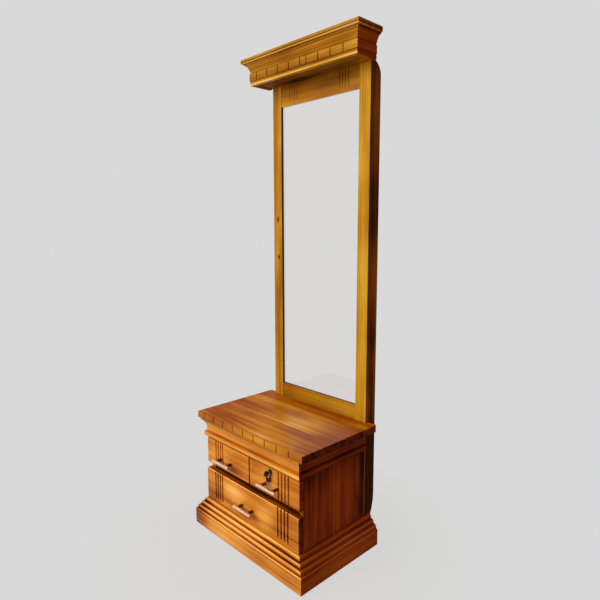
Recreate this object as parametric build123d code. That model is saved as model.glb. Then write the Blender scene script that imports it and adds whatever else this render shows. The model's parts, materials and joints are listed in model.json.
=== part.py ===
from build123d import *
import os
from math import atan2, cos, sin, sqrt

# A dressing table with a full-height mirror: a low three-drawer cabinet on a
# moulded plinth, and a mirror frame on two tall posts fixed to its back.
# Millimetres.  X runs left to right, -Y is the front, +Z is up, and the origin
# is on the floor under the middle of the whole piece.

# Overall sizes
total_height = 1830.0
total_depth = 440.0
base_width = 608.0
table_height = 468.0

# Cabinet carcass
plinth_height = 112.0
plinth_band_height = 65.0
plinth_front_projection = 35.0
plinth_side_projection = 44.0
plinth_ledge = 14.0
plinth_tail = 14.0
plinth_foot_round = 5.0
plinth_band_round = 5.0
reed_count = 3
reed_set_back = 7.0
reed_start = 1.0
reed_bulge = 5.5
board = 20.0
divider_thickness = 18.0
divider_reveal = 1.0
rail_lap = 1.0
partition_thickness = 18.0
back_thickness = 16.0
side_inset = 10.0
rear_stile_width = 55.0
stile_kerf_width = 2.0
stile_kerf_depth = 4.0
groove_clearance = 0.2

# Table top and the moulding under it
top_thickness = 25.0
top_front_overhang = 19.0
top_side_overhang = 33.0
top_ear = 14.0
top_corner_radius = 12.0
top_edge_round = 1.5
top_kerf_pitch = 60.0
top_kerf_first = 43.0
kerf_width = 4.0
kerf_depth = 3.5
crown_height = 74.0
crown_top_projection = 17.0
crown_bead_projection = 9.5
bead_height = 26.0
crown_lip = 5.0
crown_shadow = 8.0
crown_set_off = 0.5
notch_clearance = 0.3

# Drawers
front_thickness = 20.0
upper_front_thickness = 19.0
lower_front_thickness = 23.0
front_side_gap = 3.0
upper_front_height = 104.0
lower_front_height = 125.0
row_gap = 21.0
floor_gap = 2.0
drawer_side = 12.0
drawer_back_thickness = 12.0
drawer_bottom_thickness = 6.0
drawer_bottom_rise = 8.0
drawer_bottom_groove = 6.0
drawer_side_gap = 3.0
drawer_depth = 290.0
upper_box_height = 80.0
lower_box_height = 100.0
runner_width = 14.0
runner_height = 4.0
runner_end_gap = 4.0
running_gap = 0.3
finger_round = 7.0
lower_top_round = 4.2
flute_width = 8.0
flute_depth = 3.0
flute_pitch = 16.7
left_flute_pitch = 14.5
flute_centre = 183.0
flute_count = 4
flute_stop = 14.0

# Handles and their screws
handle_length = 96.0
handle_leg_spacing = 60.0
handle_bar = 8.0
handle_projection = 32.0
handle_shift = -8.5
handle_edge = 0.8
screw_diameter = 4.0
screw_head_diameter = 8.0
screw_head_height = 2.5
screw_grip = 12.0
screw_clearance = 0.1
upper_handle_drop = 12.0
lower_handle_drop = 9.0

# Lock, its keys and the ring
lock_x = 116.0
lock_below_top = 14.0
barrel_diameter = 18.0
barrel_rim_diameter = 22.0
barrel_rim = 2.5
barrel_length = 24.0
barrel_clearance = 0.1
lock_nut_thickness = 2.0
lock_nut_diameter = 24.0
plug_diameter = 11.0
plug_clearance = 0.05
cam_thickness = 2.0
cam_width = 11.0
cam_reach = 24.0
cam_hub_diameter = 15.0
cam_gap = 0.2
strike_margin = 3.0
strike_lip = 1.0
strike_width = 9.0
key_neck_diameter = 8.0
key_neck_length = 7.5
key_stand_off = 0.5
key_eye_diameter = 4.0
key_eye_inset = 5.0
key_bow_diameter = 19.0
key_bow_thickness = 3.0
key_blade_width = 7.0
key_blade_thickness = 2.0
key_blade_length = 16.0
key_clearance = 0.1
ring_radius = 9.0
ring_wire = 1.5
ring_to_bow = 2.0
spare_bow_width = 17.0
spare_bow_height = 25.0
spare_bow_thickness = 2.2
spare_bow_round = 6.5
spare_hole_radius = 3.5
spare_hole_margin = 2.2
spare_blade_thickness = 2.0
spare_blade_length = 22.0
spare_yaw = 45.0
hang_gap = 0.3

# Mirror frame
frame_width = 500.0
post_width = 50.0
post_depth = 54.0
post_bottom = 72.0
post_foot_radius = 200.0
post_foot_start = 175.0
post_shoulder_radius = 50.0
post_shoulder = 1745.0
post_tip_depth = 24.0
rail_thickness = 22.0
mirror_bottom = 526.0
mirror_height = 1130.0
lower_rail_bottom = 425.0
rebate_lip = 10.0
rebate_width = 8.0
glass_thickness = 4.0
backboard_thickness = 6.0
glass_clearance = 1.0
frame_flute_centre = 130.0
frame_flute_pitch = 14.0
frame_flute_width = 6.0
frame_flute_stop = 17.0
frame_flute_set_out = 0.6
frame_flute_run_on = 30.0
frame_screw_diameter = 8.0
frame_screw_head = 14.0
frame_screw_head_height = 3.0
frame_screw_bite = 12.0
frame_screw_heights = (200.0, 300.0, 400.0)

# Cornice
cornice_height = 97.0
cornice_top_thickness = 18.0
cornice_width = 596.0
cornice_front_projection = 126.0
cornice_overhang = 30.0
cornice_tail = 6.0
cornice_corner_radius = 14.0
cornice_board = 14.0
soffit_thickness = 12.0
cornice_reach = 20.0
cornice_fillet = 4.0
cornice_cove_top = (14.0, 6.0)
cornice_cove_middle = (5.5, 22.0)
cornice_cove_foot = (3.0, 31.0)
cornice_neck = 1.0
cornice_neck_height = 3.0
dentil_band = 5.5
dentil_band_height = 28.0
cornice_step = 2.0
cornice_base = 4.0
soffit_rise = 3.0
cornice_under_round = 7.0
cornice_edge_round = 3.0
dentil_left_first = 38.0
dentil_left_pitch = 60.0
dentil_left_count = 5
dentil_right_first = 56.0
dentil_right_pitch = 57.0
dentil_right_count = 4

# Worked out from the above
front_y = -total_depth / 2
rear_y = total_depth / 2
frame_y = rear_y - post_depth
carcass_back = frame_y - back_thickness
face_y = front_y + plinth_front_projection
carcass_front = face_y + front_thickness
upper_face_y = carcass_front - upper_front_thickness
lower_face_y = carcass_front - lower_front_thickness
half_carcass = base_width / 2 - plinth_side_projection
half_inside = half_carcass - board
half_base = base_width / 2
half_frame = frame_width / 2
half_opening = half_frame - post_width
top_underside = table_height - top_thickness
lower_front_z = plinth_height + floor_gap
upper_front_z = lower_front_z + lower_front_height + row_gap
upper_front_top = upper_front_z + upper_front_height
divider_top = upper_front_z - divider_reveal
divider_bottom = divider_top - divider_thickness
rail_bottom = upper_front_top - rail_lap
crown_bottom = top_underside - crown_height
half_flare = cornice_width / 2 - cornice_overhang
cornice_front_y = frame_y - cornice_front_projection
cornice_core_y = cornice_front_y + cornice_overhang
cornice_bottom = total_height - cornice_height
cornice_top_bottom = total_height - cornice_top_thickness
mirror_top = mirror_bottom + mirror_height
lock_z = upper_front_top - lock_below_top
frame_screw_x = half_frame - post_width / 2


def block(x0, x1, y0, y1, z0, z1):
    """A box between two corners."""
    box = Box(x1 - x0, y1 - y0, z1 - z0)
    return Pos((x0 + x1) / 2, (y0 + y1) / 2, (z0 + z1) / 2) * box


def rod(diameter, x, z, y0, y1):
    """A round bar along Y."""
    bar = Cylinder(diameter / 2, y1 - y0)
    return Pos(x, (y0 + y1) / 2, z) * Rot(90, 0, 0) * bar


def plan_prism(points, z0, z1):
    """A plan outline raised between two heights."""
    outline = make_face(Polyline(*points, close=True))
    return extrude(Pos(0, 0, z0) * outline, amount=z1 - z0)


def section(start, steps):
    """A closed outline: each step is a point, or (middle, end) of an arc."""
    edges = []
    here = start
    for step in steps:
        if isinstance(step[0], tuple):
            edges.append(ThreePointArc(here, step[0], step[1]).edge())
            here = step[1]
        else:
            edges.append(Line(here, step).edge())
            here = step
    if here != start:
        edges.append(Line(here, start).edge())
    return make_face(edges)


def cove_middle(foot, head):
    """Middle point of a hollow arc that leaves its foot straight up."""
    dp = head[0] - foot[0]
    dz = head[1] - foot[1]
    radius = (dp ** 2 + dz ** 2) / (2 * dp)
    half = atan2(dz, radius - dp) / 2
    return foot[0] + radius * (1 - cos(half)), foot[1] + radius * sin(half)


def front_run(outline, wall_y, half_length):
    """A moulding section run along the front; its first axis points forward."""
    plane = Plane(origin=(half_length, wall_y, 0), x_dir=(0, -1, 0), z_dir=(-1, 0, 0))
    return extrude(plane * outline, amount=2 * half_length)


def right_run(outline, wall_x, y0, y1):
    """A moulding section run along the right side, facing +X."""
    plane = Plane(origin=(wall_x, y1, 0), x_dir=(1, 0, 0), z_dir=(0, -1, 0))
    return extrude(plane * outline, amount=y1 - y0)


def save(shape, name):
    """Write one sub-part."""
    solids = shape if isinstance(shape, list) else list(shape.solids())
    for solid in solids:
        assert solid.is_valid, name
    out = solids[0] if len(solids) == 1 else Compound(children=solids)
    export_step(out, os.path.join("parts", name + ".step"))


def save_pair(right_shape, name):
    """Write a right-hand sub-part and its left-hand mirror image."""
    save(right_shape, "right_" + name)
    save(mirror(right_shape, about=Plane.YZ), "left_" + name)


# Plinth -------------------------------------------------------------------

def corner_arc(corner, radius, p_side, z_side):
    """Middle of a quarter round inside a square corner; the sides say which way it lies."""
    shift = radius * (1 - sqrt(0.5))
    return corner[0] + p_side * shift, corner[1] + z_side * shift


def plinth_section(projection):
    """Flat band with eased edges, then deep convex reeds stepping back, with a ledge."""
    foot = plinth_foot_round
    ease = plinth_band_round
    steps = [
        (projection - foot, 0),
        (corner_arc((projection, 0), foot, -1, 1), (projection, foot)),
        (projection, plinth_band_height - ease),
        (corner_arc((projection, plinth_band_height), ease, -1, -1),
         (projection - ease, plinth_band_height)),
    ]
    p = projection - reed_set_back
    z = plinth_band_height + reed_start
    run = p / reed_count
    rise = (plinth_height - z) / reed_count
    slope = sqrt(run ** 2 + rise ** 2)
    out = (reed_bulge * rise / slope, reed_bulge * run / slope)
    steps.append((p, z))
    for index in range(reed_count):
        crest = (p - run / 2 + out[0], z + rise / 2 + out[1])
        p -= run
        z += rise
        steps.append((crest, (max(p, 0.0), z)))
    steps.append((-board, plinth_height))
    steps.append((-board, plinth_height - plinth_ledge))
    steps.append((0, plinth_height - plinth_ledge))
    return section((0, 0), steps)


def make_plinth():
    tail_y = frame_y + plinth_tail
    outer = (half_base, front_y)
    inner = (half_carcass, face_y)
    front = front_run(plinth_section(plinth_front_projection), face_y, half_base)
    front_plan = [
        (-outer[0], outer[1]), outer, inner,
        (half_carcass, carcass_front), (-half_carcass, carcass_front), (-inner[0], inner[1]),
    ]
    save(front & plan_prism(front_plan, 0, plinth_height), "plinth_front")
    side = right_run(plinth_section(plinth_side_projection), half_carcass, front_y, tail_y)
    side_plan = [
        outer, (half_base, tail_y), (half_carcass, tail_y), (half_carcass, carcass_back),
        (half_inside, carcass_back), (half_inside, carcass_front),
        (half_carcass, carcass_front), inner,
    ]
    save_pair(side & plan_prism(side_plan, 0, plinth_height), "plinth_side")
    back = block(-half_carcass, half_carcass, frame_y - board, frame_y,
                 0, plinth_height - plinth_ledge)
    save(back, "plinth_back")
    floor = block(-half_inside, half_inside, carcass_front, carcass_back,
                  plinth_height - plinth_ledge, plinth_height)
    save(floor, "bottom_board")


# Carcass ------------------------------------------------------------------

def make_sides():
    """A wide board and a rear stile with a kerf at their joint, built for the right side."""
    x0 = half_inside
    x1 = half_carcass
    y_joint = carcass_back - rear_stile_width
    side = block(x0, x1, carcass_front, y_joint, plinth_height, top_underside)
    stile = block(x0, x1, y_joint, carcass_back, plinth_height, top_underside)
    kerf = block(x1 - stile_kerf_depth, x1 + 1, y_joint, y_joint + stile_kerf_width,
                 plinth_height - 1, crown_bottom)
    save_pair(side, "side_board")
    save_pair(stile - kerf, "rear_stile")


def make_carcass_inside():
    half_back = half_carcass - side_inset
    back = block(-half_back, half_back, carcass_back, frame_y,
                 plinth_height - plinth_ledge, top_underside)
    for hole in frame_screw_holes([-1, 1]):
        back -= hole
    save(back, "back_panel")
    divider = block(-half_inside, half_inside, carcass_front, carcass_back,
                    divider_bottom, divider_top)
    save(divider, "divider_board")
    rail_y = carcass_front + board
    half = partition_thickness / 2
    partition = block(-half, half, carcass_front, carcass_back, divider_top, rail_bottom)
    partition += block(-half, half, rail_y, carcass_back, rail_bottom, top_underside)
    save(partition, "centre_partition")
    rail = block(-half_inside, half_inside, carcass_front, rail_y, rail_bottom, top_underside)
    strike = block(lock_x - cam_width / 2 - strike_margin, lock_x + cam_reach + strike_margin,
                   carcass_front + strike_lip, carcass_front + strike_lip + strike_width,
                   rail_bottom - 1, lock_z + cam_reach + strike_margin)
    save(rail - strike, "front_top_rail")


def make_runners():
    """Hardwood strips that the drawer sides slide on."""
    half = partition_thickness / 2
    outer = half_inside - runner_width
    strips = []
    for z in (plinth_height, divider_top):
        for x in (-half_inside, outer):
            strips.append(block(x, x + runner_width, carcass_front + runner_end_gap,
                                carcass_back - runner_end_gap, z, z + runner_height))
    for x in (-half - runner_width, half):
        strips.append(block(x, x + runner_width, carcass_front + runner_end_gap,
                            carcass_back - runner_end_gap,
                            divider_top, divider_top + runner_height))
    save([strip.solid() for strip in strips], "drawer_runners")


# Table top and crown moulding ----------------------------------------------

def make_table_top():
    half = half_carcass + top_side_overhang
    y0 = face_y - top_front_overhang
    y1 = frame_y + top_ear
    top = block(-half, half, y0, y1, top_underside, table_height)
    rear_corners = top.edges().filter_by(Axis.Z).group_by(Axis.Y)[-1]
    top = fillet(rear_corners, top_corner_radius)
    top = fillet(top.faces().sort_by(Axis.Z)[-1].edges(), top_edge_round)
    notch = block(-half_frame - notch_clearance, half_frame + notch_clearance,
                  frame_y, y1 + 1, top_underside - 1, table_height + 1)
    top -= notch
    kerf_x = -half + top_kerf_first
    while kerf_x < half - top_kerf_first:
        top -= block(kerf_x - kerf_width / 2, kerf_x + kerf_width / 2, y0 - 1, y0 + kerf_depth,
                     top_underside - 1, table_height + 1)
        kerf_x += top_kerf_pitch
    save(top, "table_top")


def crown_section(back):
    """Cove under the table top, a shadow groove, then a rounded bead."""
    bead_top = crown_bottom + bead_height
    cove_foot = bead_top + crown_shadow
    lip = crown_lip
    top_p = crown_top_projection
    foot_p = crown_set_off
    mid = cove_middle((foot_p, cove_foot), (top_p, top_underside - lip))
    steps = [
        (back, top_underside),
        (top_p, top_underside),
        (top_p, top_underside - lip),
        (mid, (foot_p, cove_foot)),
        (foot_p, bead_top),
        ((crown_bead_projection, crown_bottom + bead_height / 2), (foot_p, crown_bottom)),
    ]
    return section((back, crown_bottom), steps)


def make_crown():
    reach = crown_top_projection
    outer = (half_carcass + reach, face_y - reach)
    inner = (half_carcass, face_y)
    front = front_run(crown_section(-front_thickness), face_y, outer[0])
    front_plan = [
        (-outer[0], outer[1]), outer, inner,
        (half_carcass, carcass_front), (-half_carcass, carcass_front), (-inner[0], inner[1]),
    ]
    save(front & plan_prism(front_plan, crown_bottom, top_underside), "crown_front")
    side = right_run(crown_section(0), half_carcass, outer[1], carcass_back)
    side_plan = [outer, (outer[0], carcass_back), (half_carcass, carcass_back), inner]
    save_pair(side & plan_prism(side_plan, crown_bottom, top_underside), "crown_side")


# Drawers --------------------------------------------------------------------

def flute(x, drawer_face, z0, z1):
    """A round-bottomed groove cut into a drawer face, with round ends."""
    radius = flute_width / 2
    cutter = Pos(x, drawer_face, (z0 + z1) / 2) * Cylinder(radius, z1 - z0)
    ends = [Pos(x, drawer_face, z) * Sphere(radius) for z in (z0, z1)]
    shape = cutter + ends[0] + ends[1]
    keep = block(x - radius, x + radius, drawer_face - radius, drawer_face + flute_depth,
                 z0 - radius, z1 + radius)
    return shape & keep


def flute_positions(sides):
    """Centres of the flutes on the given sides of the cabinet."""
    for side in sides:
        pitch = flute_pitch if side > 0 else left_flute_pitch
        span = (flute_count - 1) * pitch
        for index in range(flute_count):
            yield side * (flute_centre - span / 2 + index * pitch)


def handle_screw_x(centre):
    return [centre - handle_leg_spacing / 2, centre + handle_leg_spacing / 2]


def make_handle(prefix, centre, z, drawer_face):
    """A square bar on two legs, held by screws from inside the drawer."""
    half = handle_length / 2
    y0 = drawer_face - handle_projection
    bar = block(centre - half, centre + half, y0, y0 + handle_bar,
                z - handle_bar / 2, z + handle_bar / 2)
    for x in handle_screw_x(centre):
        bar += block(x - handle_bar / 2, x + handle_bar / 2, y0, drawer_face,
                     z - handle_bar / 2, z + handle_bar / 2)
    bar = chamfer(bar.faces().sort_by(Axis.Y)[0].edges(), handle_edge)
    screws = []
    for x in handle_screw_x(centre):
        bore = rod(screw_diameter + screw_clearance, x, z,
                   drawer_face - screw_grip - 1, drawer_face)
        bar -= bore
        shank = rod(screw_diameter, x, z, drawer_face - screw_grip, carcass_front)
        head = rod(screw_head_diameter, x, z, carcass_front, carcass_front + screw_head_height)
        screws.append((shank + head).solid())
    save(bar, prefix + "_handle")
    save(screws, prefix + "_handle_screws")


def make_drawer(prefix, x0, x1, z0, box_height, front, front_holes):
    """One drawer: a face board, two sides, a back and a grooved-in bottom."""
    y0 = carcass_front
    y1 = carcass_front + drawer_depth
    z1 = z0 + box_height
    g = groove_clearance
    left = block(x0, x0 + drawer_side, y0, y1, z0, z1)
    right = block(x1 - drawer_side, x1, y0, y1, z0, z1)
    back = block(x0 + drawer_side, x1 - drawer_side, y1 - drawer_back_thickness, y1, z0, z1)
    bz0 = z0 + drawer_bottom_rise
    bz1 = bz0 + drawer_bottom_thickness
    reach = drawer_bottom_groove
    bottom = block(x0 + drawer_side - reach, x1 - drawer_side + reach, y0,
                   y1 - drawer_back_thickness + reach, bz0, bz1)
    groove = block(x0 + drawer_side - reach - g, x1 - drawer_side + reach + g, y0 - g,
                   y1 - drawer_back_thickness + reach + g, bz0 - g, bz1 + g)
    for hole in front_holes:
        front -= hole
    save(front, prefix + "_front")
    save(left - groove, prefix + "_left_side")
    save(right - groove, prefix + "_right_side")
    save(back - groove, prefix + "_back")
    save(bottom, prefix + "_bottom")


def screw_holes(centre, z):
    return [rod(screw_diameter + screw_clearance, x, z, lower_face_y - 1, carcass_front + 1)
            for x in handle_screw_x(centre)]


def make_upper_drawer(side):
    prefix = "upper_right" if side > 0 else "upper_left"
    half_gap = front_side_gap / 2
    x0, x1 = sorted((side * half_gap, side * half_carcass))
    front = block(x0, x1, upper_face_y, carcass_front, upper_front_z, upper_front_top)
    lower_edge = front.edges().filter_by(Axis.X).group_by(Axis.Z)[0].sort_by(Axis.Y)[0]
    front = fillet(lower_edge, finger_round)
    for x in flute_positions([side]):
        front -= flute(x, upper_face_y, upper_front_z - flute_width, upper_front_top + flute_width)
    half = partition_thickness / 2
    box = sorted((side * (half + drawer_side_gap), side * (half_inside - drawer_side_gap)))
    centre = (x0 + x1) / 2 + handle_shift
    handle_z = (upper_front_z + upper_front_top) / 2 - upper_handle_drop
    holes = screw_holes(centre, handle_z)
    if side > 0:
        holes.append(rod(barrel_diameter + 2 * barrel_clearance, lock_x, lock_z,
                         upper_face_y - 1, carcass_front + 1))
    base = divider_top + runner_height + running_gap
    make_drawer(prefix + "_drawer", box[0], box[1], base, upper_box_height, front, holes)
    make_handle(prefix, centre, handle_z, upper_face_y)


def make_lower_drawer():
    z1 = lower_front_z + lower_front_height
    front = block(-half_carcass, half_carcass, lower_face_y, carcass_front, lower_front_z, z1)
    upper_edge = front.edges().filter_by(Axis.X).group_by(Axis.Z)[-1].sort_by(Axis.Y)[0]
    front = fillet(upper_edge, lower_top_round)
    for x in flute_positions([-1, 1]):
        front -= flute(x, lower_face_y, lower_front_z + flute_stop + flute_width / 2,
                       z1 + flute_width)
    handle_z = (lower_front_z + z1) / 2 - lower_handle_drop
    base = plinth_height + runner_height + running_gap
    half = half_inside - drawer_side_gap
    holes = screw_holes(handle_shift, handle_z)
    make_drawer("lower_drawer", -half, half, base, lower_box_height, front, holes)
    make_handle("lower", handle_shift, handle_z, lower_face_y)


# Lock and keys ---------------------------------------------------------------

def make_lock():
    """Cam lock in the right upper drawer, with the key in it and a spare on a ring."""
    x = lock_x
    z = lock_z
    rim_y = upper_face_y - barrel_rim
    end_y = upper_face_y + barrel_length
    bore = plug_diameter + 2 * plug_clearance
    barrel = rod(barrel_diameter, x, z, upper_face_y, end_y)
    barrel += rod(barrel_rim_diameter, x, z, rim_y, upper_face_y)
    barrel -= rod(bore, x, z, rim_y - 1, end_y + 1)
    nut = rod(lock_nut_diameter, x, z, carcass_front, carcass_front + lock_nut_thickness)
    nut -= rod(barrel_diameter, x, z, carcass_front - 1, end_y)
    save([barrel.solid(), nut.solid()], "lock_barrel")

    plug = rod(plug_diameter, x, z, rim_y, end_y + cam_gap)
    arm_y = end_y + cam_gap
    arm = block(x, x + cam_reach - cam_width / 2, arm_y, arm_y + cam_thickness,
                z - cam_width / 2, z + cam_width / 2)
    arm += rod(cam_width, x + cam_reach - cam_width / 2, z, arm_y, arm_y + cam_thickness)
    arm += rod(cam_hub_diameter, x, z, arm_y, arm_y + cam_thickness)
    slot = block(x - key_blade_thickness / 2 - key_clearance,
                 x + key_blade_thickness / 2 + key_clearance,
                 rim_y - 1, rim_y + key_blade_length + key_clearance,
                 z - key_blade_width / 2 - key_clearance, z + key_blade_width / 2 + key_clearance)
    save(plug + arm - slot, "lock_cam")

    neck_y = rim_y - key_stand_off
    bow_y = neck_y - key_neck_length
    bow_r = key_bow_diameter / 2
    blade = block(x - key_blade_thickness / 2, x + key_blade_thickness / 2,
                  neck_y - 1, rim_y + key_blade_length,
                  z - key_blade_width / 2, z + key_blade_width / 2)
    neck = rod(key_neck_diameter, x, z, bow_y - 2, neck_y)
    disc = Pos(x, bow_y - bow_r + 1, z) * Rot(0, 90, 0) * Cylinder(bow_r, key_bow_thickness)
    eye = Cylinder(key_eye_diameter / 2, 2 * key_bow_diameter)
    eye = Pos(x, bow_y - key_bow_diameter + key_eye_inset, z) * Rot(0, 90, 0) * eye
    save(blade + neck + disc - eye, "key")

    wire_r = ring_wire / 2
    ring_y = bow_y + ring_to_bow
    ring_z = z + key_neck_diameter / 2 + hang_gap - ring_radius + wire_r
    ring = Pos(x, ring_y, ring_z) * Rot(90, 0, 0) * Torus(ring_radius, wire_r)
    save(ring, "key_ring")

    hole_z = ring_z - ring_radius - (spare_hole_radius - 2 * wire_r)
    top_z = hole_z + spare_hole_radius + spare_hole_margin
    body_z = top_z - spare_bow_height
    head = Box(spare_bow_width, spare_bow_thickness, spare_bow_height)
    head = fillet(head.edges().filter_by(Axis.Y), spare_bow_round)
    head = Pos(0, 0, top_z - spare_bow_height / 2) * head
    shank = block(-key_blade_width / 2, key_blade_width / 2,
                  -spare_blade_thickness / 2, spare_blade_thickness / 2,
                  body_z - spare_blade_length, body_z + 3)
    spare = head + shank
    spare -= Pos(0, 0, hole_z) * Rot(90, 0, 0) * Cylinder(spare_hole_radius, 2 * spare_bow_width)
    save(Pos(x, ring_y, 0) * Rot(0, 0, spare_yaw) * spare, "spare_key")


# Mirror frame ------------------------------------------------------------------

def make_posts():
    """Full-height posts, thinned to the rear at the foot and above the shoulder."""
    top = cornice_top_bottom
    tip_y = frame_y + post_tip_depth
    foot_drop = post_foot_radius - sqrt(post_foot_radius ** 2 - (post_foot_start - post_bottom) ** 2)
    half_angle = (post_foot_start - post_bottom) / 2
    foot_mid = post_foot_radius - sqrt(post_foot_radius ** 2 - half_angle ** 2)
    r = post_shoulder_radius
    arc_y = rear_y - r
    arc_z = post_shoulder - r
    rise = sqrt(r ** 2 - (tip_y - arc_y) ** 2)
    half_turn = atan2(rise, tip_y - arc_y) / 2
    mid = (arc_y + r * cos(half_turn), arc_z + r * sin(half_turn))
    outline = section((frame_y, post_bottom), [
        (rear_y - foot_drop, post_bottom),
        ((rear_y - foot_mid, post_foot_start - half_angle), (rear_y, post_foot_start)),
        (rear_y, arc_z),
        (mid, (tip_y, arc_z + rise)),
        (tip_y, top),
        (frame_y, top),
    ])
    plane = Plane(origin=(half_opening, 0, 0), x_dir=(0, 1, 0), z_dir=(1, 0, 0))
    post = extrude(plane * outline, amount=post_width)
    rebate = block(half_opening - 1, half_opening + rebate_width, frame_y + rebate_lip, rear_y + 1,
                   mirror_bottom - rebate_width, mirror_top + rebate_width)
    post -= rebate
    for hole in frame_screw_holes([1]):
        post -= hole
    save_pair(post, "post")


def rail_rebate(z0, z1):
    return block(-half_opening - 1, half_opening + 1, frame_y + rebate_lip, rear_y, z0, z1)


def make_mirror_rails():
    y1 = frame_y + rail_thickness
    bottom = block(-half_opening, half_opening, frame_y, y1, lower_rail_bottom, mirror_bottom)
    bottom -= rail_rebate(mirror_bottom - rebate_width, mirror_bottom + 1)
    save(bottom, "mirror_bottom_rail")
    top = block(-half_opening, half_opening, frame_y, y1, mirror_top, cornice_top_bottom)
    top -= rail_rebate(mirror_top - 1, mirror_top + rebate_width)
    stop = mirror_top + frame_flute_stop
    flute_end = cornice_bottom + frame_flute_run_on
    span = (flute_count - 1) * frame_flute_pitch
    for side in (-1, 1):
        for index in range(flute_count):
            x = side * (frame_flute_centre - span / 2 + index * frame_flute_pitch)
            groove = Cylinder(frame_flute_width / 2, flute_end - stop)
            top -= Pos(x, frame_y - frame_flute_set_out, (stop + flute_end) / 2) * groove
    save(top, "mirror_top_rail")


def make_mirror():
    """Glass in the rebates and a backboard behind it."""
    x = half_opening + rebate_width - glass_clearance
    z0 = mirror_bottom - rebate_width + glass_clearance
    z1 = mirror_top + rebate_width - glass_clearance
    y0 = frame_y + rebate_lip + groove_clearance
    y1 = y0 + glass_thickness
    save(block(-x, x, y0, y1, z0, z1), "mirror_glass")
    y2 = y1 + groove_clearance
    save(block(-x, x, y2, y2 + backboard_thickness, z0, z1), "mirror_backboard")


def frame_screw_holes(sides):
    """Clearance holes for the coach screws, with their heads sunk flush."""
    holes = []
    for side in sides:
        for z in frame_screw_heights:
            x = side * frame_screw_x
            hole = rod(frame_screw_diameter + screw_clearance, x, z,
                       frame_y - frame_screw_bite - 1, rear_y + 1)
            hole += rod(frame_screw_head + 2 * screw_clearance, x, z,
                        rear_y - frame_screw_head_height, rear_y + 1)
            holes.append(hole)
    return holes


def make_frame_screws():
    """Coach screws through the posts into the cabinet's back panel."""
    screws = []
    for side in (-1, 1):
        for z in frame_screw_heights:
            x = side * frame_screw_x
            seat = rear_y - frame_screw_head_height
            shank = rod(frame_screw_diameter, x, z, frame_y - frame_screw_bite, seat)
            head = rod(frame_screw_head, x, z, seat, rear_y)
            screws.append((shank + head).solid())
    save(screws, "frame_screws")


# Cornice -----------------------------------------------------------------------

def cornice_section():
    """Fillet, cove, dentil band and a plain lower band, measured down from the top board."""
    z_top = cornice_top_bottom
    band_top = z_top - cornice_cove_foot[1] - cornice_neck_height
    band_foot = band_top - dentil_band_height
    cove_head = (cornice_cove_top[0], z_top - cornice_cove_top[1])
    cove_middle_point = (cornice_cove_middle[0], z_top - cornice_cove_middle[1])
    cove_foot = (cornice_cove_foot[0], z_top - cornice_cove_foot[1])
    steps = [
        (cornice_reach, z_top),
        (cornice_reach, z_top - cornice_fillet),
        cove_head,
        (cove_middle_point, cove_foot),
        (cornice_neck, cove_foot[1]),
        (cornice_neck, band_top),
        (dentil_band, band_top),
        (dentil_band, band_foot),
        (cornice_step, band_foot - cornice_step),
        (cornice_base, band_foot - 2 * cornice_step),
        (cornice_base, cornice_bottom),
        (-cornice_board, cornice_bottom),
    ]
    return section((-cornice_board, z_top), steps)


def dentil_positions():
    """Kerfs stepped in from each end, so the blocks near the middle are narrower."""
    for index in range(dentil_left_count):
        yield dentil_left_first - half_flare + index * dentil_left_pitch
    for index in range(dentil_right_count):
        yield half_flare - dentil_right_first - index * dentil_right_pitch


def make_cornice():
    outer = (half_flare + cornice_reach, cornice_core_y - cornice_reach)
    inner = (half_flare - cornice_board, cornice_core_y + cornice_board)
    outline = cornice_section()
    front = front_run(outline, cornice_core_y, outer[0])
    front &= plan_prism([(-outer[0], outer[1]), outer, inner, (-inner[0], inner[1])],
                        cornice_bottom, cornice_top_bottom)
    band_top = cornice_top_bottom - cornice_cove_foot[1] - cornice_neck_height
    for x in dentil_positions():
        front -= block(x - kerf_width / 2, x + kerf_width / 2, outer[1],
                       cornice_core_y - cornice_neck, band_top - dentil_band_height, band_top + 1)
    save(front, "cornice_front")
    side = right_run(outline, half_flare, outer[1], frame_y)
    side &= plan_prism([outer, (outer[0], frame_y), (inner[0], frame_y), inner],
                       cornice_bottom, cornice_top_bottom)
    save_pair(side, "cornice_side")
    soffit_z = cornice_bottom + soffit_rise
    soffit = block(-inner[0], inner[0], inner[1], frame_y, soffit_z, soffit_z + soffit_thickness)
    save(soffit, "cornice_soffit")
    half = cornice_width / 2
    y1 = frame_y + cornice_tail
    top = block(-half, half, cornice_front_y, y1, cornice_top_bottom, total_height)
    top = fillet(top.edges().filter_by(Axis.Z).group_by(Axis.Y)[-1], cornice_corner_radius)
    under = top.faces().sort_by(Axis.Z)[0].edges() - top.edges().group_by(Axis.Y)[-1]
    top = fillet(under, cornice_under_round)
    top = fillet(top.faces().sort_by(Axis.Z)[-1].edges(), cornice_edge_round)
    save(top, "cornice_top")


os.makedirs("parts", exist_ok=True)
make_plinth()
make_sides()
make_carcass_inside()
make_runners()
make_table_top()
make_crown()
make_upper_drawer(-1)
make_upper_drawer(1)
make_lower_drawer()
make_lock()
make_posts()
make_mirror_rails()
make_mirror()
make_frame_screws()
make_cornice()
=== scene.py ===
import json
import math
import random

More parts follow.
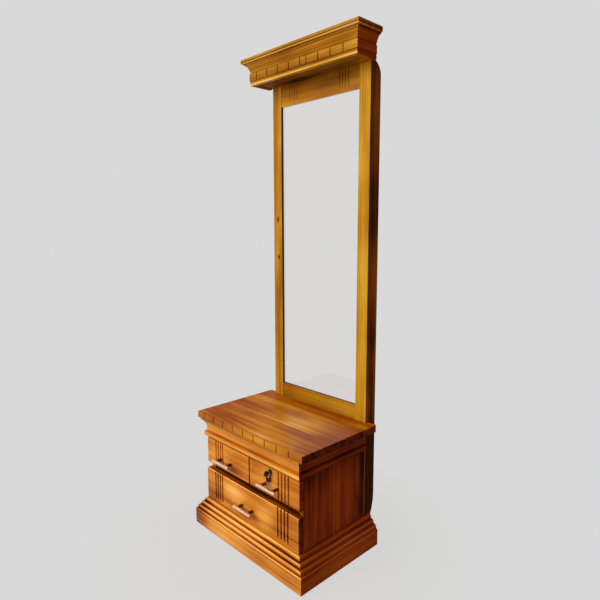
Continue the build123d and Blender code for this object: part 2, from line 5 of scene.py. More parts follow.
import bpy
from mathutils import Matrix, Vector

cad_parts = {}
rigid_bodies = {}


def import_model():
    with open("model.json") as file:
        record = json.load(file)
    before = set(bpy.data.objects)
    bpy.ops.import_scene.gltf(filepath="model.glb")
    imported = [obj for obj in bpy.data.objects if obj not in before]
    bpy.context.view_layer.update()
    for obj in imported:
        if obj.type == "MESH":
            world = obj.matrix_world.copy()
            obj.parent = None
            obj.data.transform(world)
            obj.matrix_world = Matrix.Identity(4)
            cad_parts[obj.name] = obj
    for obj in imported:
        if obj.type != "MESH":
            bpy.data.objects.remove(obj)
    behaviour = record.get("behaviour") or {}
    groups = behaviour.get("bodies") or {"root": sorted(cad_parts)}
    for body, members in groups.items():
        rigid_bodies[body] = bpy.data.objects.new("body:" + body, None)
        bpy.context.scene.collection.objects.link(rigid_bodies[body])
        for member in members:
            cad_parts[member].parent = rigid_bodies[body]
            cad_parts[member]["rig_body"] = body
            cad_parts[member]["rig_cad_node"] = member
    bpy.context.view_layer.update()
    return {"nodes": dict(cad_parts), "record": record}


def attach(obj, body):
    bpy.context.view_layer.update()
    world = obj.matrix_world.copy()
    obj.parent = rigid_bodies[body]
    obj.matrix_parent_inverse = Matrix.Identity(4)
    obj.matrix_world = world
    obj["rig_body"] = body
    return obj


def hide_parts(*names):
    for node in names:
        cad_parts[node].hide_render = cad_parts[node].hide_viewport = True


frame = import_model()
cadNodes = frame["nodes"]
bodyOf = {n: b for b, names in frame["record"]["behaviour"]["bodies"].items() for n in names}
print("frame loaded:", len(cadNodes), "nodes")


# camera, as measured: place, heading, tilt and focal length
cameraSet = {
    "place": (1.3906, -1.2747, 1.1803),
    "heading": 45.88,
    "tilt": -7.95,
    "roll": 0.12,
    "lens": 30.955,
    "sensor": 36.0,
    "farClip": 200.0,
}


def addCamera(look):
    bpy.ops.object.camera_add(location=look["place"])
    camera = bpy.context.object
    camera.name = "studioCamera"
    camera.data.lens = look["lens"]
    camera.data.sensor_width = look["sensor"]
    camera.data.clip_end = look["farClip"]
    turn = math.radians(look["heading"])
    tilt = math.radians(90.0 + look["tilt"])
    camera.rotation_euler = (tilt, math.radians(look["roll"]), turn)
    bpy.context.scene.camera = camera


addCamera(cameraSet)

# light: a bright side at the front left, a dim one at the right
lightSet = {
    "backdrop": 0.694,
    "dimSide": (0.23, 0.10, 0.07),
    "brightSide": (0.72, 0.67, 0.56),
    "brightHeading": (-0.68, -0.73, 0.0),
    "brightEdges": (-0.15, 0.75),
    "key": {"place": (-0.9, -2.8, 2.3), "aim": (0.0, 0.0, 0.7), "size": (1.4, 2.2), "watts": 85.0,
            "colour": (1.0, 0.88, 0.68)},
    "top": {"place": (-1.3, 0.5, 3.6), "aim": (0.0, 0.0, 0.4), "size": (1.8, 1.4), "watts": 23.0,
            "colour": (1.0, 0.86, 0.62)},
    "sheen": {"place": (-2.6, 2.7, 2.1), "aim": (0.05, 0.0, 0.47), "size": (1.2, 1.2), "watts": 3.2,
              "colour": (1.0, 0.88, 0.60)},
}


def addLamp(name, look):
    bpy.ops.object.light_add(type="AREA", location=look["place"])
    lamp = bpy.context.object
    lamp.name = name
    lamp.data.shape = "RECTANGLE"
    lamp.data.size, lamp.data.size_y = look["size"]
    lamp.data.energy = look["watts"]
    lamp.data.color = look["colour"]
    aim = Vector(look["aim"]) - Vector(look["place"])
    lamp.rotation_euler = aim.to_track_quat("-Z", "Y").to_euler()
    lamp.visible_camera = False


for lampName in ("key", "top", "sheen"):
    addLamp(lampName, lightSet[lampName])


# one socket of a material; sums on it add Math nodes
class Level:
    def __init__(self, paint, socket):
        self.paint = paint
        self.socket = socket

    def math(self, operation, first, second=None):
        inputs = {0: first} if second is None else {0: first, 1: second}
        return self.paint.add("ShaderNodeMath", {"operation": operation}, inputs)

    def __add__(self, other):
        return self.math("ADD", self, other)

    def __radd__(self, other):
        return self.math("ADD", other, self)

    def __sub__(self, other):
        return self.math("SUBTRACT", self, other)

    def __rsub__(self, other):
        return self.math("SUBTRACT", other, self)

    def __mul__(self, other):
        return self.math("MULTIPLY", self, other)

    def __rmul__(self, other):
        return self.math("MULTIPLY", other, self)

    def __truediv__(self, other):
        return self.math("DIVIDE", self, other)

    def __pow__(self, other):
        return self.math("POWER", self, other)

    def sqrt(self):
        return self.math("SQRT", self)

    def fraction(self):
        return self.math("FRACT", self)

    def floor(self):
        return self.math("FLOOR", self)

    def size(self):
        return self.math("ABSOLUTE", self)

    def ease(self, low, high):
        sockets = {"Value": self, "From Min": low, "From Max": high}
        return self.paint.add("ShaderNodeMapRange", {"interpolation_type": "SMOOTHSTEP"}, sockets)

    def fit(self, low, high, newLow=0.0, newHigh=1.0):
        sockets = {"Value": self, "From Min": low, "From Max": high, "To Min": newLow, "To Max": newHigh}
        return self.paint.add("ShaderNodeMapRange", {}, sockets)


class Paint:
    def __init__(self, owner):
        owner.use_nodes = True
        self.tree = owner.node_tree
        self.tree.nodes.clear()

    def add(self, kind, settings, inputs, output=0):
        node = self.tree.nodes.new(kind)
        for key, value in settings.items():
            if key == "stops":
                stops = node.color_ramp.elements
                while len(stops) < len(value):
                    stops.new(0.5)
                for stop, (position, colour) in zip(stops, value):
                    stop.position = position
                    stop.color = (*colour, 1.0)
            else:
                setattr(node, key, value)
        for key, value in inputs.items():
            socket = node.inputs[key]
            if isinstance(value, Level):
                self.tree.links.new(value.socket, socket)
            elif isinstance(value, tuple) and socket.type == "RGBA":
                socket.default_value = (*value, 1.0)
            else:
                socket.default_value = value
        return Level(self, node.outputs[output]) if len(node.outputs) else node

    def mixColour(self, factor, first, second):
        return self.add("ShaderNodeMix", {"data_type": "RGBA"}, {0: factor, 6: first, 7: second}, 2)

    def noise(self, vector, scale, detail=2.0, roughness=0.5, distortion=0.0):
        inputs = {"Vector": vector, "Scale": scale, "Detail": detail, "Roughness": roughness,
                  "Distortion": distortion}
        return self.add("ShaderNodeTexNoise", {}, inputs)

    def vector(self, x, y, z):
        return self.add("ShaderNodeCombineXYZ", {}, {0: x, 1: y, 2: z})

    def split(self, vector):
        first = self.add("ShaderNodeSeparateXYZ", {}, {0: vector})
        outs = first.socket.node.outputs
        return [Level(self, out) for out in outs]


def newMaterial(name):
    material = bpy.data.materials.new(name)
    return material, Paint(material)


def buildWorld(look):
    world = bpy.data.worlds.new("studioWorld")
    bpy.context.scene.world = world
    paint = Paint(world)
    direction = paint.add("ShaderNodeTexCoord", {}, {}, 0)
    facing = paint.add("ShaderNodeVectorMath", {"operation": "DOT_PRODUCT"},
                       {0: direction, 1: look["brightHeading"]}, 1)
    bright = facing.ease(*look["brightEdges"])
    around = paint.mixColour(bright, look["dimSide"], look["brightSide"])
    seen = paint.add("ShaderNodeLightPath", {}, {}, 0)
    colour = paint.mixColour(seen, around, (look["backdrop"],) * 3)
    background = paint.add("ShaderNodeBackground", {}, {"Color": colour, "Strength": 1.0})
    paint.add("ShaderNodeOutputWorld", {}, {"Surface": background})


buildWorld(lightSet)
bpy.context.scene.view_settings.view_transform = "Standard"

# floor: pale, with the shade under the plinth fading into the backdrop
floorSet = {
    "size": 60.0,
    "drop": 0.0005,
    "matt": 0.62,
    "glow": 0.694,
    "least": 0.92,
    "near": 0.36,
    "far": 0.8,
}


def addFloor(look):
    bpy.ops.mesh.primitive_plane_add(size=look["size"], location=(0.0, 0.0, -look["drop"]))
    floor = bpy.context.object
    floor.name = "studioFloor"
    material, paint = newMaterial("paleFloor")
    place = paint.add("ShaderNodeTexCoord", {}, {}, 3)
    distance = paint.add("ShaderNodeVectorMath", {"operation": "LENGTH"}, {0: place}, 1)
    fade = distance.ease(look["near"], look["far"]) * (1.0 - look["least"]) + look["least"]
    matt = paint.add("ShaderNodeBsdfDiffuse", {}, {"Color": (look["matt"],) * 3})
    glow = paint.add("ShaderNodeEmission", {}, {"Color": (1.0, 1.0, 1.0), "Strength": look["glow"]})
    mixed = paint.add("ShaderNodeMixShader", {}, {0: fade, 1: matt, 2: glow})
    paint.add("ShaderNodeOutputMaterial", {}, {"Surface": mixed})
    floor.data.materials.append(material)
    floor.visible_diffuse = False
    floor.visible_glossy = False


addFloor(floorSet)
print("stage set")

# wood: rings of a tree round a centre line, streaks, fibres, pores and a clear varnish
teakTones = {
    "gold": ((0.21, 0.042, 0.002), (0.53, 0.162, 0.007), (0.86, 0.41, 0.07)),
    "amber": ((0.18, 0.050, 0.002), (0.38, 0.165, 0.005), (0.56, 0.34, 0.03)),
    # a brighter, yellower copy of amber: painted light on the right post
    "litStraw": ((0.30, 0.120, 0.004), (0.50, 0.265, 0.010), (0.68, 0.43, 0.04)),
    "cornice": ((0.16, 0.050, 0.001), (0.34, 0.135, 0.003), (0.62, 0.34, 0.03)),
    # shade: a darker, redder copy of the wood for the side pieces, painted shade of the sides turned away
    # from the light
    "shade": ((0.16, 0.022, 0.002), (0.38, 0.086, 0.006), (0.66, 0.21, 0.02)),
    "top": ((0.22, 0.046, 0.0005), (0.31, 0.068, 0.0006), (0.62, 0.28, 0.012)),
    # near black: painted shade for the recessed rail between the drawers
    "gapShade": ((0.020, 0.005, 0.002), (0.045, 0.011, 0.003), (0.08, 0.022, 0.006)),
    "plain": ((0.30, 0.17, 0.08), (0.46, 0.30, 0.15), (0.60, 0.43, 0.25)),
}
# a pattern has its scale across and along the grain, its detail and, where given, its roughness
woodSet = {
    "shift": 3.0,               # the most that the patterns of a piece are moved
    "boardShift": (7.0, 1.3),   # the most that a glued board is moved, along and across
    "boardSeeds": 50,
    "centre": (0.05, 0.11),     # least and most distance of the rings' centre from the frame's origin
    "wander": (4.0, 1.1, 2.0),
    "wanderReach": 0.055,
    "ringWidth": 0.0065,
    "ripple": (30.0, 5.0, 2.0),
    "rippleReach": 0.9,
    "lateWood": 2.2,
    "streak": (42.0, 1.6, 3.0, 0.55),
    "streakRange": (0.28, 0.72),
    "fibre": (700.0, 14.0, 2.0, 0.6),
    "cloud": (6.0, 3.2, 2.0, 0.5),
    "cloudRange": (0.3, 0.7),
    "pore": (1300.0, 70.0, 1.0),
    "poreEdges": (0.66, 0.74),
    "shares": {"streak": 0.38, "cloud": 0.40, "ring": 0.20, "fibre": 0.20, "board": 0.16, "pore": 0.5},
    "relief": {"fibre": 0.5, "pore": 0.5, "late": 0.15, "skin": 0.2},
    "deepest": 0.15,
    "palest": 0.12,
    "stops": (0.0, 0.2, 0.5, 0.88, 1.0),
    "glossRange": (0.2, 0.8),
    "roughness": (0.40, 0.25),
    "bareRoughness": (0.68, 0.56),
    "sheenLevel": 0.20,
    "sheenTint": (1.0, 0.62, 0.24),
    "bump": 0.10,
    "bareBump": 0.3,
    "bumpDepth": 0.0006,
    "skin": 14.0,
}
spotCore = 0.15  # share of a spot's reach that keeps its full strength
grainAxes = {"x": (1, 2, 0), "y": (0, 2, 1), "z": (0, 1, 2)}
axisIndex = {"x": 0, "y": 1, "z": 2}


# a mark lightens or darkens one place: a soft spot, a thin line or everything past a plane; most marks
# are painted highlights, painted sheen and painted shade, and some are knots and other lighter or darker
# patches
def markLevel(paint, place, parts, mark):
    kind = mark[0]
    if kind == "spot":
        centre, reach, amount = mark[1:]
        offset = paint.add("ShaderNodeVectorMath", {"operation": "SUBTRACT"}, {0: place, 1: centre})
        scaled = paint.add("ShaderNodeVectorMath", {"operation": "DIVIDE"}, {0: offset, 1: reach})
        away = paint.add("ShaderNodeVectorMath", {"operation": "LENGTH"}, {0: scaled}, 1)
        return (1.0 - away.ease(spotCore, 1.0)) * amount
    if kind == "line":
        axis, position, reach, amount = mark[1:]
        return (1.0 - (parts[axisIndex[axis]] - position).size().ease(0.0, reach)) * amount
    axis, low, high, amount = mark[1:]
    return parts[axisIndex[axis]].ease(low, high) * amount


def makeWood(name, grain, tone, seed, boards=None, marks=(), varnished=True, look=woodSet):
    material, paint = newMaterial(name)
    draw = random.Random(seed)
    place = paint.add("ShaderNodeTexCoord", {}, {}, 3)
    parts = paint.split(place)
    first, second, along = (parts[k] for k in grainAxes[grain])
    shift = [draw.uniform(-look["shift"], look["shift"]) for k in range(3)]
    if boards:
        axis, width, start = boards
        index = ((parts[axisIndex[axis]] - start) / width).floor()
        index = index + draw.random() * look["boardSeeds"]
        tint = paint.add("ShaderNodeTexWhiteNoise", {"noise_dimensions": "1D"}, {"W": index})
        along = along + tint * look["boardShift"][0]
        first = first + tint * look["boardShift"][1]
    along = along + shift[2]
    centreA = draw.uniform(*look["centre"]) * draw.choice((-1, 1))
    centreB = draw.uniform(*look["centre"]) * draw.choice((-1, 1))

    # noise drawn out along the grain, moved on the numbered axes
    def pattern(numbers, moves):
        across, lengthwise, *settings = numbers
        spot = [first * across, second * across, along * lengthwise]
        for k, distance in moves.items():
            spot[k] = spot[k] + distance
        return paint.noise(paint.vector(*spot), 1.0, *settings)

    wave = (pattern(look["wander"], {0: shift[0], 1: shift[1]}) - 0.5) * look["wanderReach"]
    fromA = first - centreA + wave
    fromB = second - centreB + wave
    radius = (fromA * fromA + fromB * fromB).sqrt()
    ring = (radius / look["ringWidth"] + pattern(look["ripple"], {}) * look["rippleReach"]).fraction()
    late = ring ** look["lateWood"]
    streak = pattern(look["streak"], {0: shift[1]})
    fibre = pattern(look["fibre"], {})
    cloud = pattern(look["cloud"], {2: shift[0]})
    pore = pattern(look["pore"], {}).ease(*look["poreEdges"])
    shares = look["shares"]
    level = streak.fit(*look["streakRange"]) * shares["streak"]
    level = level + cloud.fit(*look["cloudRange"]) * shares["cloud"]
    level = level + (1.0 - late) * shares["ring"]
    level = level + (fibre - 0.5) * shares["fibre"]
    if boards:
        level = level + (tint - 0.5) * shares["board"]
    for mark in marks:
        level = level + markLevel(paint, place, parts, mark)

    dark, middle, light = teakTones[tone]
    deep = tuple(c * look["deepest"] for c in dark)
    pale = tuple(c + look["palest"] for c in light)
    stops = list(zip(look["stops"], (deep, dark, middle, light, pale)))
    colour = paint.add("ShaderNodeValToRGB", {"stops": stops}, {0: level})
    colour = paint.mixColour(pore * shares["pore"], colour, dark)
    relief = look["relief"]
    height = fibre * relief["fibre"] - pore * relief["pore"] + late * relief["late"]
    sockets = {"Base Color": colour}
    if varnished:
        height = height + paint.noise(place, look["skin"], 2.0) * relief["skin"]
        sockets["Roughness"] = streak.fit(*look["glossRange"], *look["roughness"])
        sockets["Specular IOR Level"] = look["sheenLevel"]
        sockets["Specular Tint"] = look["sheenTint"]
    else:
        sockets["Roughness"] = streak.fit(*look["glossRange"], *look["bareRoughness"])
    strength = look["bump"] if varnished else look["bareBump"]
    sockets["Normal"] = paint.add("ShaderNodeBump", {}, {
        "Strength": strength, "Distance": look["bumpDepth"], "Height": height})
    shader = paint.add("ShaderNodeBsdfPrincipled", {}, sockets)
    paint.add("ShaderNodeOutputMaterial", {}, {"Surface": shader})
    return material


metalSet = {
    "spots": 90.0,
    "spotEdges": (0.35, 0.7),
    "worn": 0.86,
    "bump": 0.03,
    "bumpDepth": 0.0001,
    "lineRange": (0.3, 0.7),
    "gloss": (0.8, 1.3),    # shares of the roughness, from the smooth lines to the rough ones
}


def makeMetal(name, colour, roughness, brushed, legShade=None, look=metalSet):
    material, paint = newMaterial(name)
    place = paint.add("ShaderNodeTexCoord", {}, {}, 3)
    parts = paint.split(place)
    lines = paint.noise(paint.vector(*(part * scale for part, scale in zip(parts, brushed))), 1.0, 3.0)
    spots = paint.noise(place, look["spots"], 2.0)
    darker = tuple(c * look["worn"] for c in colour)
    tone = paint.mixColour(spots.ease(*look["spotEdges"]), colour, darker)
    # painted shade on the legs of the handles
    if legShade:
        axis, low, high, shade = legShade
        tone = paint.mixColour(parts[axisIndex[axis]].ease(low, high), tone, shade)
    bump = paint.add("ShaderNodeBump", {}, {
        "Strength": look["bump"], "Distance": look["bumpDepth"], "Height": lines})
    smooth, rough = (roughness * share for share in look["gloss"])
    gloss = lines.fit(*look["lineRange"], smooth, rough)
    shader = paint.add("ShaderNodeBsdfPrincipled", {}, {
        "Base Color": tone, "Metallic": 1.0, "Normal": bump, "Roughness": gloss})
    paint.add("ShaderNodeOutputMaterial", {}, {"Surface": shader})
    return material


plasticSet = {
    "grit": 1800.0,
    "cloud": 160.0,
    "cloudEdges": (0.45, 0.75),
    "cloudRange": (0.3, 0.7),
    "worn": (1.7, 0.004),
    "bump": 0.12,
    "bumpDepth": 0.0002,
    "spread": 0.14,
}


def makePlastic(name, colour, roughness, blade=None, look=plasticSet):
    material, paint = newMaterial(name)
    place = paint.add("ShaderNodeTexCoord", {}, {}, 3)
    grit = paint.noise(place, look["grit"], 2.0)
    cloud = paint.noise(place, look["cloud"], 2.0)
    gain, lift = look["worn"]
    worn = tuple(min(1.0, c * gain + lift) for c in colour)
    tone = paint.mixColour(cloud.ease(*look["cloudEdges"]), colour, worn)
    bump = paint.add("ShaderNodeBump", {}, {
        "Strength": look["bump"], "Distance": look["bumpDepth"], "Height": grit})
    gloss = cloud.fit(*look["cloudRange"], roughness, roughness + look["spread"])
    sockets = {"Normal": bump, "Roughness": gloss}
    if blade:
        axis, low, high, steel = blade
        bare = 1.0 - paint.split(place)[axisIndex[axis]].ease(low, high)
        tone = paint.mixColour(bare, tone, steel)
        sockets["Metallic"] = bare
    sockets["Base Color"] = tone
    shader = paint.add("ShaderNodeBsdfPrincipled", {}, sockets)
    paint.add("ShaderNodeOutputMaterial", {}, {"Surface": shader})
    return material


# silvered glass under an even pale glow of its own: a painted reflection
mirrorSet = {
    "glow": 0.694,
    "paintedGlowShare": 0.9,
    "paintedGlowSpread": 0.01,
    "paintedGlowRange": (0.2, 0.8),
    "haze": 9.0,
    "hazeEdges": (0.3, 0.7),
    "wipe": 45.0,
    "wipeRange": (0.35, 0.8),
    "silver": ((0.97, 0.975, 0.972), (0.955, 0.965, 0.96)),
    "roughness": (0.004, 0.022),
}


def makeMirror(name, look=mirrorSet):
    material, paint = newMaterial(name)
    place = paint.add("ShaderNodeTexCoord", {}, {}, 3)
    haze = paint.noise(place, look["haze"], 3.0)
    wipe = paint.noise(place, look["wipe"], 2.0, 0.5, 1.2)
    tone = paint.mixColour(haze.ease(*look["hazeEdges"]), *look["silver"])
    gloss = wipe.fit(*look["wipeRange"], *look["roughness"])
    silver = paint.add("ShaderNodeBsdfPrincipled", {}, {
        "Base Color": tone, "Metallic": 1.0, "Roughness": gloss})
    # the glass glows by itself: painted reflection of the pale backdrop
    glow = paint.add("ShaderNodeEmission", {}, {"Color": (look["glow"],) * 3, "Strength": 1.0})
    least, most = look["paintedGlowShare"] - look["paintedGlowSpread"], look["paintedGlowShare"] + look["paintedGlowSpread"]
    paintedGlowShare = haze.fit(*look["paintedGlowRange"], least, most)
    shader = paint.add("ShaderNodeMixShader", {}, {0: paintedGlowShare, 1: silver, 2: glow})
    paint.add("ShaderNodeOutputMaterial", {}, {"Surface": shader})
    return material


# the bars of the handles are bright, their legs darkened from the given depth on: painted shade
handleSet = {
    "colour": (0.98, 0.92, 0.88),
    # dark brown legs: painted shade
    "legShadeColour": (0.12, 0.045, 0.022),
    "roughness": 0.32,
    "brushed": (60.0, 900.0, 900.0),
    "upperLegShade": (-0.2085, -0.206),
    "lowerLegShade": (-0.2125, -0.210),
    "arris": 0.0009,
}


def makeHandleSteel(name, legShadeEdges, look=handleSet):
    legShade = ("y", *legShadeEdges, look["legShadeColour"])
    return makeMetal(name, look["colour"], look["roughness"], look["brushed"], legShade)


upperHandleSteel = makeHandleSteel("upperHandleSteel", handleSet["upperLegShade"])
lowerHandleSteel = makeHandleSteel("lowerHandleSteel", handleSet["lowerLegShade"])
screwSteel = makeMetal("zincScrewSteel", (0.62, 0.62, 0.60), 0.32, (500.0, 60.0, 500.0))
lockNickel = makeMetal("agedLockNickel", (0.16, 0.09, 0.055), 0.30, (300.0, 60.0, 300.0))
ringWire = makeMetal("keyRingWire", (0.30, 0.28, 0.26), 0.30, (200.0, 200.0, 200.0))
spareBlade = ("z", 0.3154, 0.3162, (0.72, 0.68, 0.62))
keyBlack = makePlastic("blackKeyHead", (0.012, 0.012, 0.013), 0.34)
keyMaroon = makePlastic("maroonKeyHead", (0.075, 0.006, 0.009), 0.26, spareBlade)
mirrorSilverAndGlow = makeMirror("silveredGlassWithPaintedGlow")

# shared marks of painted shade and painted highlights: recessed flutes, reeds of the plinth, rear stiles,
# crown mouldings
# painted shade on everything behind the face of the drawer fronts, in the flutes most of all
upperRecessShade = ("past", "y", -0.1835, -0.1815, -0.28)
lowerRecessShade = ("past", "y", -0.1875, -0.1855, -0.36)
# painted shade in the grooves and painted highlights on the crests of the plinth's reeds, half as strong
# on the sides
reedGrooveShade = tuple(("line", "z", z, 0.0040, -0.46) for z in (0.0665, 0.0813, 0.0967))
reedCrestHighlights = tuple(("line", "z", z, 0.0034, 0.52) for z in (0.0620, 0.0770, 0.0925, 0.1080))
reedShadeAndHighlights = reedGrooveShade + reedCrestHighlights
sideReedShadeAndHighlights = tuple((*line, amount * 0.5) for *line, amount in reedShadeAndHighlights)
rearShade = (("line", "y", 0.095, 0.003, -0.5), ("past", "y", 0.118, 0.138, -0.34),
             ("line", "z", 0.443, 0.18, -0.30))
# painted shade under the table top and in the groove, painted highlights on the fillet and the bead; the
# sides darker all over, painted shade
crownShadeAndHighlights = (("line", "z", 0.4385, 0.003, -0.42), ("line", "z", 0.4335, 0.004, 0.20),
              ("line", "z", 0.3935, 0.006, -0.30), ("line", "z", 0.3825, 0.005, 0.25))
crownSideShadeAndHighlights = crownShadeAndHighlights + (("past", "z", 0.1, 0.2, -0.20),)
sideTopShade = ("line", "z", 0.443, 0.18, -0.42)

# grain direction, tone, marks and glued boards of each varnished node
woodOf = {
    "plinth_front": {"grain": "x", "tone": "gold", "marks": (
        *reedShadeAndHighlights,
        # darker at the left end, a painted highlight across the middle of the band and painted shade
        # along the bottom edge
        ("spot", (-0.29, -0.22, 0.03), (0.10, 0.2, 0.2), -0.34),
        ("spot", (-0.10, -0.22, 0.04), (0.22, 0.2, 0.08), 0.34),
        ("line", "z", 0.0, 0.010, -0.12))},
    "left_plinth_side": {"grain": "y", "tone": "shade", "marks": sideReedShadeAndHighlights},
    "right_plinth_side": {"grain": "y", "tone": "shade", "marks": sideReedShadeAndHighlights},
    "left_rear_stile": {"grain": "z", "tone": "shade", "marks": rearShade},
    "right_rear_stile": {"grain": "z", "tone": "shade", "marks": rearShade},
    "left_side_board": {"grain": "z", "tone": "shade", "marks": (sideTopShade,)},
    "right_side_board": {"grain": "z", "tone": "shade", "marks": (
        ("spot", (0.26, -0.02, 0.25), (0.1, 0.05, 0.2), 0.12), sideTopShade)},
    "front_top_rail": {"grain": "x", "tone": "gold"},
    # the divider board is near black: painted shade of the recessed gap between the drawers
    "divider_board": {"grain": "x", "tone": "gapShade"},
    "table_top": {"grain": "x", "tone": "top", "boards": ("y", 0.077, -0.21), "marks": (
        # painted sheen across the middle and front, darker towards the back, a painted highlight along
        # the front edge and painted shade on the right end
        ("spot", (0.06, -0.03, 0.468), (0.25, 0.09, 0.2), 0.22),
        ("spot", (0.08, -0.14, 0.468), (0.30, 0.09, 0.2), 0.30),
        ("spot", (-0.05, 0.16, 0.468), (0.40, 0.05, 0.2), -0.10),
        ("line", "y", -0.204, 0.0015, 0.06),
        ("past", "x", 0.2905, 0.2925, -0.34))},
    "crown_front": {"grain": "x", "tone": "gold", "marks": (*crownShadeAndHighlights, ("past", "z", 0.1, 0.2, 0.10))},
    "left_crown_side": {"grain": "y", "tone": "shade", "marks": crownSideShadeAndHighlights},
    "right_crown_side": {"grain": "y", "tone": "shade", "marks": crownSideShadeAndHighlights},
    "upper_left_drawer_front": {"grain": "x", "tone": "gold", "marks": (
        upperRecessShade,
        # painted shade at the gap between the upper drawers, a lighter patch and a painted shadow of the
        # handle
        ("line", "x", -0.0015, 0.003, -0.6),
        ("spot", (-0.18, -0.184, 0.33), (0.07, 0.1, 0.05), 0.12),
        ("spot", (-0.10, -0.184, 0.285), (0.08, 0.1, 0.03), -0.22))},
    "upper_right_drawer_front": {"grain": "x", "tone": "gold", "marks": (
        upperRecessShade,
        # painted shade at the gap between the upper drawers, then lighter and darker patches
        ("line", "x", 0.0015, 0.003, -0.6),
        ("spot", (0.07, -0.184, 0.30), (0.09, 0.1, 0.06), 0.08),
        ("spot", (0.23, -0.184, 0.30), (0.10, 0.1, 0.12), -0.12),
        ("spot", (0.04, -0.184, 0.34), (0.05, 0.1, 0.04), -0.12))},
    "lower_drawer_front": {"grain": "x", "tone": "gold", "marks": (
        lowerRecessShade,
        ("spot", (0.0, -0.188, 0.239), (10.0, 0.004, 0.004), 0.75),  # painted highlight along the upper arris
        # painted sheen beside the handle, then darker patches
        ("spot", (-0.09, -0.188, 0.19), (0.08, 0.1, 0.05), 0.18),
        ("spot", (0.08, -0.188, 0.17), (0.07, 0.1, 0.06), 0.24),
        ("spot", (-0.03, -0.188, 0.14), (0.08, 0.1, 0.03), -0.22),
        ("spot", (-0.22, -0.188, 0.13), (0.08, 0.1, 0.03), -0.25),
        ("spot", (0.20, -0.188, 0.17), (0.10, 0.1, 0.12), -0.16))},
    "left_post": {"grain": "z", "tone": "amber", "marks": (
        ("spot", (-0.225, 0.17, 1.215), (0.012, 0.05, 0.02), -0.55),  # knots
        ("spot", (-0.221, 0.17, 1.06), (0.010, 0.05, 0.016), -0.55),
        # painted shade on the reveal at the mirror opening; lighter towards the top
        ("past", "x", -0.2022, -0.2006, -0.8),
        ("past", "z", 1.1, 1.5, 0.10))},
    "right_post": {"grain": "z", "tone": "litStraw", "marks": (
        # painted shade on the side turned away from the light and on the lower part behind the cabinet; a
        # lighter band above it
        ("past", "x", 0.2484, 0.2494, -0.42),
        ("line", "z", 0.20, 0.35, -0.55),
        ("line", "z", 0.65, 0.45, 0.12))},
    # painted shadow of the cornice along the top of the rail
    "mirror_top_rail": {"grain": "x", "tone": "cornice", "marks": (("line", "z", 1.735, 0.06, -0.20),)},
    # painted shade along the edge of the mirror opening
    "mirror_bottom_rail": {"grain": "x", "tone": "amber", "marks": (("line", "z", 0.526, 0.0022, -0.6),)},
    # a painted highlight along the lower edge and painted shade under the top board
    "cornice_front": {"grain": "x", "tone": "cornice", "marks": (
        ("line", "z", 1.736, 0.009, 0.52), ("line", "z", 1.8125, 0.007, -0.25))},
    "left_cornice_side": {"grain": "y", "tone": "shade"},
    "right_cornice_side": {"grain": "y", "tone": "shade", "marks": (
        # two lighter bands, and painted shade under the top board
        ("line", "z", 1.757, 0.009, 0.16),
        ("line", "z", 1.784, 0.010, 0.12),
        ("line", "z", 1.8125, 0.012, -0.5))},
    # the underside darkened all over: painted shade
    "cornice_soffit": {"grain": "x", "tone": "amber", "marks": (("past", "z", 1.0, 1.1, -0.32),)},
    # a painted highlight along the lower edge and a dark line above it
    "cornice_top": {"grain": "x", "tone": "cornice", "marks": (
        ("line", "z", 1.8142, 0.0024, 0.45), ("line", "z", 1.8188, 0.0026, -0.65))},
}

# bare boards inside and behind, with painted shade on the recessed edges of the back panel
drawerGrain = {"left_side": "y", "right_side": "y", "back": "x", "bottom": "x"}
bareGrain = {"plinth_back": "x", "bottom_board": "x", "centre_partition": "y", "drawer_runners": "y",
             "back_panel": "z", "mirror_backboard": "z"}
panelEdgeShade = {"back_panel": tuple(("line", "x", side * 0.26, 0.006, -1.4) for side in (-1, 1))}

# edges eased with a small bevel
arrisSet = {
    "width": 0.0007,
    "segments": 2,
    "angle": 38.0,
    "smooth": 50.0,
    "merge": 0.00002,
    "flat": 0.4,
}
sharpNodes = ("front_top_rail",)  # kept as it is, so that the slot of the lock stays wide enough
seedBefore = 11  # each wooden piece takes the next seed after this one


def onlySelect(piece):
    bpy.ops.object.select_all(action="DESELECT")
    piece.select_set(True)
    bpy.context.view_layer.objects.active = piece


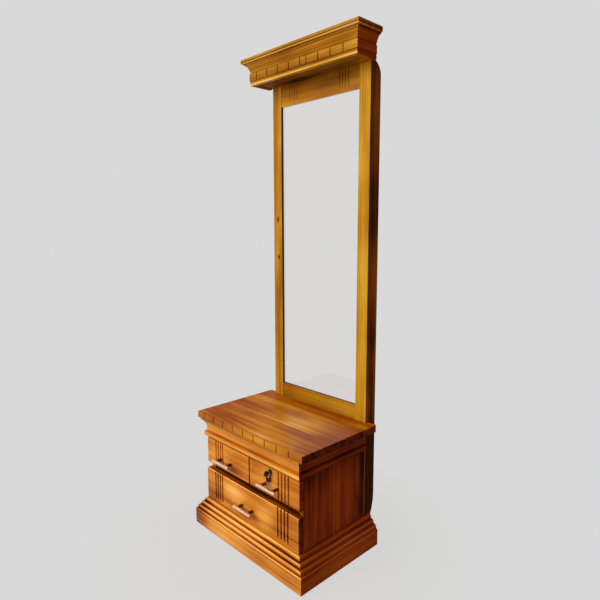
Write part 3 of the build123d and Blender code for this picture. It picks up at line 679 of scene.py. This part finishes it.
def easedCopy(nodeName, width, look=arrisSet):
    piece = cadNodes[nodeName].copy()
    piece.data = cadNodes[nodeName].data.copy()
    bpy.context.collection.objects.link(piece)
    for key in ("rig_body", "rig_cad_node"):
        if key in piece:
            del piece[key]
    piece.parent = None
    piece.name = nodeName + "_eased"
    piece.data.name = piece.name
    onlySelect(piece)
    if piece.data.has_custom_normals:
        bpy.ops.mesh.customdata_custom_splitnormals_clear()
    bpy.ops.object.mode_set(mode="EDIT")
    bpy.ops.mesh.select_all(action="SELECT")
    bpy.ops.mesh.remove_doubles(threshold=look["merge"])
    bpy.ops.mesh.dissolve_limited(angle_limit=math.radians(look["flat"]))
    bpy.ops.object.mode_set(mode="OBJECT")
    bevel = piece.modifiers.new("arris", "BEVEL")
    bevel.width = width
    bevel.segments = look["segments"]
    bevel.limit_method = "ANGLE"
    bevel.angle_limit = math.radians(look["angle"])
    bevel.use_clamp_overlap = True
    bpy.ops.object.modifier_apply(modifier=bevel.name)
    bpy.ops.object.shade_smooth_by_angle(angle=math.radians(look["smooth"]))
    weighted = piece.modifiers.new("level", "WEIGHTED_NORMAL")
    weighted.keep_sharp = True
    bpy.ops.object.modifier_apply(modifier=weighted.name)
    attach(piece, bodyOf[nodeName])
    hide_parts(nodeName)
    return piece


def coat(piece, material):
    if len(piece.data.materials) == 0:
        piece.data.materials.append(material)
    for index in range(len(piece.data.materials)):
        piece.data.materials[index] = material


seed = seedBefore
for nodeName, look in woodOf.items():
    seed += 1
    boards, marks = look.get("boards"), look.get("marks", ())
    material = makeWood(nodeName + "_wood", look["grain"], look["tone"], seed, boards, marks)
    piece = cadNodes[nodeName] if nodeName in sharpNodes else easedCopy(nodeName, arrisSet["width"])
    coat(piece, material)
bareNodes = {drawer + "_drawer_" + part: grain for drawer in ("upper_left", "upper_right", "lower")
             for part, grain in drawerGrain.items()}
for nodeName, grain in (bareNodes | bareGrain).items():
    seed += 1
    # the back panel's edges get painted shade
    marks = panelEdgeShade.get(nodeName, ())
    coat(cadNodes[nodeName], makeWood(nodeName + "_wood", grain, "plain", seed, None, marks, False))
print("wood finished")

for nodeName, steel in (("upper_left_handle", upperHandleSteel), ("upper_right_handle", upperHandleSteel),
                        ("lower_handle", lowerHandleSteel)):
    coat(easedCopy(nodeName, handleSet["arris"]), steel)
for nodeName in ("upper_left_handle_screws", "upper_right_handle_screws", "lower_handle_screws",
                 "frame_screws"):
    coat(cadNodes[nodeName], screwSteel)
for nodeName in ("lock_barrel", "lock_cam"):
    coat(cadNodes[nodeName], lockNickel)
coat(cadNodes["key"], keyBlack)
coat(cadNodes["key_ring"], ringWire)
coat(cadNodes["spare_key"], keyMaroon)
coat(cadNodes["mirror_glass"], mirrorSilverAndGlow)
print("metal, keys and mirror finished")
